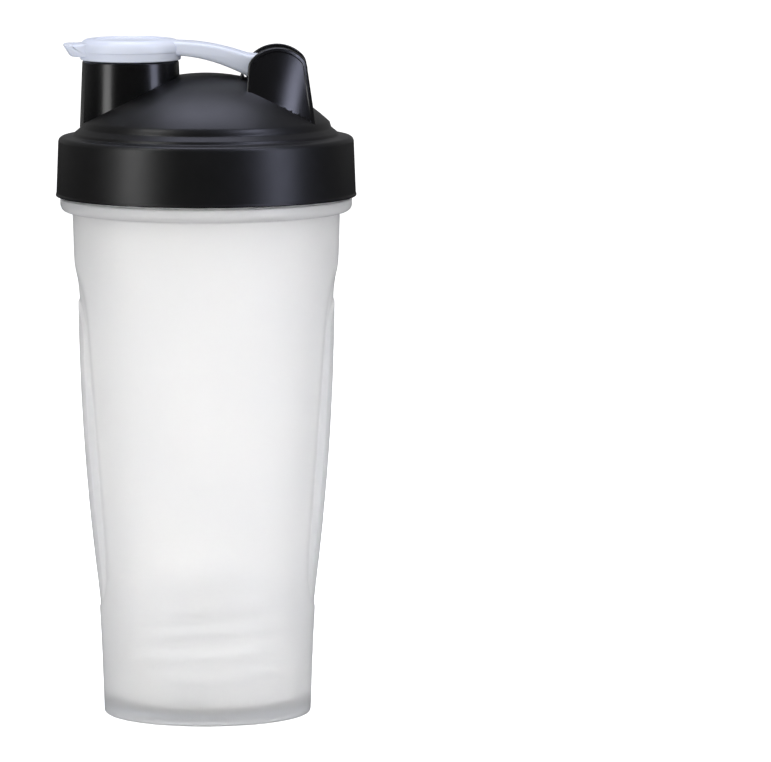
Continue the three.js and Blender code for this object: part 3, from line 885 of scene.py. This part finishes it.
def makeCap():
    bm = boolean(capPlate(), thumbTab(), "UNION")
    bm = boolean(bm, longArm(), "UNION")
    bm = boolean(bm, hingeBarrel(), "UNION")
    finishPiece("cap_white", bm, [coolWhite()], "cap", "flip_cap")


# The mixing ball, one wire wound from pole to pole.

ball = {"turns": 7, "wire": 1.1, "poleDeg": 20, "perTurn": 90, "tuck": 0.1, "tuckShare": 3}


def makeBall():
    centre = (ballLow + ballHigh) / 2
    pole = math.radians(ball["poleDeg"])
    radius = (ballHigh.z - ballLow.z) / 2 - ball["wire"]
    radius /= math.cos(pole)
    curve = bpy.data.curves.new("wire", "CURVE")
    curve.dimensions = "3D"
    curve.bevel_depth = ball["wire"]
    curve.bevel_resolution = 4
    curve.use_fill_caps = True
    spline = curve.splines.new("POLY")
    count = ball["turns"] * ball["perTurn"]
    spline.points.add(count)
    for i in range(count + 1):
        along = i / count
        polar = pole + along * (math.pi - 2 * pole)
        around = 2 * math.pi * ball["turns"] * along
        tucked = 1 - ball["tuck"] * (1 - smooth(min(along, 1 - along) * ball["turns"]
                                          * ball["tuckShare"]))
        reach = radius * math.sin(polar) * tucked
        place = (reach * math.cos(around), reach * math.sin(around),
                 centre.z - radius * math.cos(polar), 1)
        spline.points[i].co = place
    scrap = bpy.data.objects.new("wire", curve)
    bpy.context.scene.collection.objects.link(scrap)
    bpy.context.view_layer.update()
    bm = bmesh.new()
    bm.from_mesh(scrap.evaluated_get(bpy.context.evaluated_depsgraph_get()).to_mesh())
    bpy.data.objects.remove(scrap)
    bmesh.ops.remove_doubles(bm, verts=bm.verts, dist=mergeReach)
    bmesh.ops.recalc_face_normals(bm, faces=bm.faces)
    finishPiece("whisk_wire", bm, [stainlessWire()], "ball", "whisk_ball")


# The stage: floor, light and camera.

stage = {
    "floorRadius": 9.0,
    "floorSeen": 0.8,  # glow of the floor to the eye
    "floorThrough": 5.9,  # through the cup
    "floorBounce": 0.25,  # and as light on the bottle
    "floorPaint": "#f7f7f7",
    "floorInGloss": "#2a2a2c",
    "worldThrough": 5.1,
    "worldDiffuse": 0.46,
    "worldFront": 0.05,
    "worldBack": 0.22,
    "worldTurn": (-0.2, 0.9),  # where behind the bottle its gloss begins and ends to see the pale side
    "aim": (0, 0, 0.17),
    # name, degrees from the camera, degrees up, distance, size, power, tint
    "streaks": (
        ("left_softbox", -57, 8, 1.1, (0.34, 0.9), 4.2, "#ffffff"),
        ("right_softbox", 57, 8, 1.1, (0.34, 0.9), 5.0, "#dfe3ff"),
        ("left_high_softbox", -62, 50, 1.1, (0.3, 0.3), 1.8, "#ffffff"),
        ("right_high_softbox", 55, 50, 1.1, (0.36, 0.3), 2.8, "#dfe3ff"),
    ),
    "top": ("top_softbox", 180, 77, 1.06, (0.7, 0.5), 3.9, "#e4e7ff"),
    "fills": (
        ("front_fill", 0, 8, 1.6, (0.8, 0.8), 5.2, "#fffdf8"),
        ("top_fill", 0, 86, 1.2, (0.8, 0.8), 7.4, "#ffffff"),
    ),
}


def byRay(tree, ray, otherwise, through, seen):
    # one value for light on the bottle, one for what the cup lets through, one for the eye
    first = addNode(tree, "ShaderNodeMix", {"Factor": ray.outputs["Is Transmission Ray"],
                                            "A": otherwise, "B": through})
    second = addNode(tree, "ShaderNodeMix", {"Factor": ray.outputs["Is Camera Ray"],
                                             "A": first.outputs["Result"], "B": seen})
    return second.outputs["Result"]


def makeFloor():
    bm = bmesh.new()
    bmesh.ops.create_circle(bm, cap_ends=True, segments=96, radius=stage["floorRadius"])
    mesh = bpy.data.meshes.new("floor")
    bm.to_mesh(mesh)
    bm.free()
    material, tree = newMaterial("floor_white")
    paint = addNode(tree, "ShaderNodeBsdfDiffuse", {"Color": colour(stage["floorPaint"])})
    ray = addNode(tree, "ShaderNodeLightPath")
    level = byRay(tree, ray, stage["floorBounce"], stage["floorThrough"], stage["floorSeen"])
    glow = addNode(tree, "ShaderNodeEmission", {"Color": (1, 1, 1, 1), "Strength": level})
    lit = addNode(tree, "ShaderNodeAddShader", {0: paint.outputs["BSDF"], 1: glow.outputs["Emission"]})
    dark = addNode(tree, "ShaderNodeBsdfDiffuse", {"Color": colour(stage["floorInGloss"])})
    both = addNode(tree, "ShaderNodeMixShader", {0: ray.outputs["Is Glossy Ray"],
                                                 1: lit.outputs["Shader"], 2: dark.outputs["BSDF"]})
    addNode(tree, "ShaderNodeOutputMaterial", {"Surface": both.outputs["Shader"]})
    mesh.materials.append(material)
    floor = bpy.data.objects.new("floor", mesh)
    bpy.context.scene.collection.objects.link(floor)


def makeWorld():
    # white to the camera and through the cup; what the gloss sees is dark in front, pale behind
    world = bpy.data.worlds.new("studio")
    world.use_nodes = True
    tree = world.node_tree
    tree.nodes.clear()
    ray = addNode(tree, "ShaderNodeLightPath")
    towards = addNode(tree, "ShaderNodeTexCoord").outputs["Generated"]
    split = addNode(tree, "ShaderNodeSeparateXYZ", {0: towards})
    shade = addNode(tree, "ShaderNodeMapRange",
                    {"Value": split.outputs["Y"], "From Min": stage["worldTurn"][0],
                     "From Max": stage["worldTurn"][1],
                     "To Min": stage["worldFront"], "To Max": stage["worldBack"]},
                    interpolation_type="SMOOTHSTEP")
    around = addNode(tree, "ShaderNodeMix", {"Factor": ray.outputs["Is Diffuse Ray"],
                                             "A": shade.outputs["Result"],
                                             "B": stage["worldDiffuse"]})
    level = byRay(tree, ray, around.outputs["Result"], stage["worldThrough"], 1.0)
    back = addNode(tree, "ShaderNodeBackground", {"Color": (1, 1, 1, 1), "Strength": level})
    addNode(tree, "ShaderNodeOutputWorld", {"Surface": back.outputs["Background"]})
    bpy.context.scene.world = world


def softbox(name, aroundDeg, upDeg, distance, size, power, tint):
    # a rectangular light at the given turn from the camera, aimed at the upper half of the bottle
    around, up = math.radians(aroundDeg), math.radians(upDeg)
    away = Vector((math.sin(around) * math.cos(up), -math.cos(around) * math.cos(up), math.sin(up)))
    light = bpy.data.lights.new(name, "AREA")
    light.shape = "RECTANGLE"
    light.size, light.size_y = size
    light.energy = power
    light.color = colour(tint)[:3]
    box = bpy.data.objects.new(name, light)
    box.location = Vector(stage["aim"]) + away * distance
    box.rotation_euler = away.to_track_quat("Z", "Y").to_euler()
    box.visible_camera = False
    bpy.context.scene.collection.objects.link(box)
    return box


def makeLights():
    for settings in stage["streaks"]:
        streak = softbox(*settings)
        streak.visible_diffuse = False  # seen in the gloss only, so the white parts keep their shade
    softbox(*stage["top"])
    for settings in stage["fills"]:
        fill = softbox(*settings)
        fill.visible_glossy = False  # lifts the cup and cap without showing in the black gloss


view = {"lens": 323.3, "sensor": 36, "place": (0, -2.234, 0.364), "downDeg": 6.534, "turnDeg": -1.488}


def makeCamera():
    data = bpy.data.cameras.new("camera")
    data.lens = view["lens"]
    data.sensor_width = view["sensor"]
    camera = bpy.data.objects.new("camera", data)
    camera.location = view["place"]
    camera.rotation_euler = (math.radians(90 - view["downDeg"]), 0, math.radians(view["turnDeg"]))
    bpy.context.scene.collection.objects.link(camera)
    bpy.context.scene.camera = camera


makeCamera()
makeCup()
makeLid()
makeGasket()
makeCap()
makeBall()
makeFloor()
makeWorld()
makeLights()
bpy.context.scene.view_settings.view_transform = "Standard"
print("stage set")
